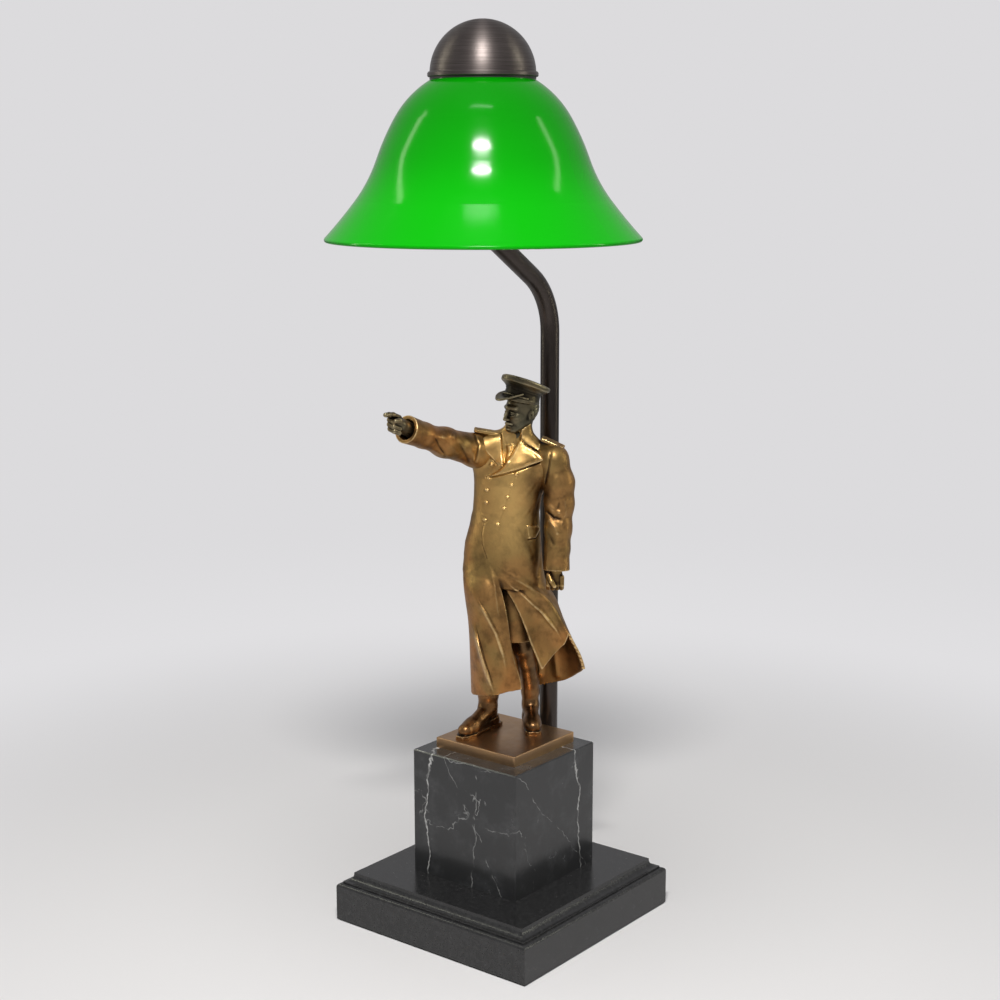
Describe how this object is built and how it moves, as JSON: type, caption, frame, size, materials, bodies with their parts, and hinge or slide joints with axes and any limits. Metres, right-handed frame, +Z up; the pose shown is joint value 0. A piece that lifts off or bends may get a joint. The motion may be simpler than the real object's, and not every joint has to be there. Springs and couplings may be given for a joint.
{
  "type": "figural table lamp",
  "caption": "Table lamp with a standing pointing figure on a square block and moulded slab, a bent tube behind it and a bell-shaped glass shade under a domed cap.",
  "frame": {"origin": "middle of the underside of the felt, where the lamp stands", "axes": "+Z up, front of the lamp (where the figure points) towards -Y"},
  "size_m": [0.2301, 0.231, 0.6819],
  "materials": {
    "black_marble": "satin polished black stone",
    "veined_marble": "polished black marble with white veins",
    "felt": "black felt",
    "grommet": "moulded black plastic",
    "gasket": "black rubber",
    "bronze": "cast bronze with a golden brown patina",
    "dark_bronze": "cast bronze with a dark greenish patina",
    "dark_metal": "dark brown bronzed finish, satin",
    "antique_nickel": "brushed antique nickel",
    "plated_steel": "zinc plated",
    "brass": "plain brass",
    "porcelain": "glazed white",
    "wire": "insulated",
    "bulb_cap_metal": "nickel plated thread",
    "bulb_glass": "opal white",
    "green_glass": "cased glass, emerald green outside and opal white inside"
  },
  "bodies": {
    "root": {"base_slab": "black_marble", "base_felt": "felt", "inlet_grommet": "grommet", "marble_block": "veined_marble", "figure_plinth": "bronze", "boot_screws": "plated_steel", "tie_rod": "plated_steel", "tie_rod_washer": "plated_steel", "tie_rod_nut": "plated_steel", "pole": "dark_metal", "pole_nipple": "brass", "pole_washer": "plated_steel", "pole_nut": "plated_steel", "holder_nipple": "brass", "stem_wires": "wire", "terminal_block": "grommet", "holder_base": "brass", "holder_shell": "brass", "holder_insert": "porcelain", "holder_screw_shell": "brass", "centre_contact": "brass", "shade_carrier": "plated_steel", "cap_strap": "plated_steel", "cap_stud": "plated_steel", "figure_coat": "bronze", "figure_head": "dark_bronze", "figure_cap": "dark_bronze", "figure_right_arm": "bronze", "figure_right_hand": "dark_bronze", "figure_left_arm": "bronze", "figure_left_hand": "bronze", "figure_right_leg": "bronze", "figure_left_leg": "bronze"},
    "bulb": {"bulb_cap": "bulb_cap_metal", "bulb_glass": "bulb_glass"},
    "shade": {"shade_glass": "green_glass"},
    "cap": {"dome_cap": "antique_nickel", "cap_boss": "antique_nickel", "neck_gasket": "gasket"}
  },
  "joints": [
    {"name": "cap_unscrew", "type": "hinge", "parent": "root", "child": "cap", "pos_m": [0, -0.022, 0.66], "axis": [0, 0, 1], "continuous": true},
    {"name": "shade_turn", "type": "hinge", "parent": "root", "child": "shade", "pos_m": [0, -0.022, 0.638], "axis": [0, 0, 1], "continuous": true},
    {"name": "bulb_unscrew", "type": "hinge", "parent": "root", "child": "bulb", "pos_m": [0, -0.022, 0.6], "axis": [0, 0, 1], "continuous": true}
  ]
}
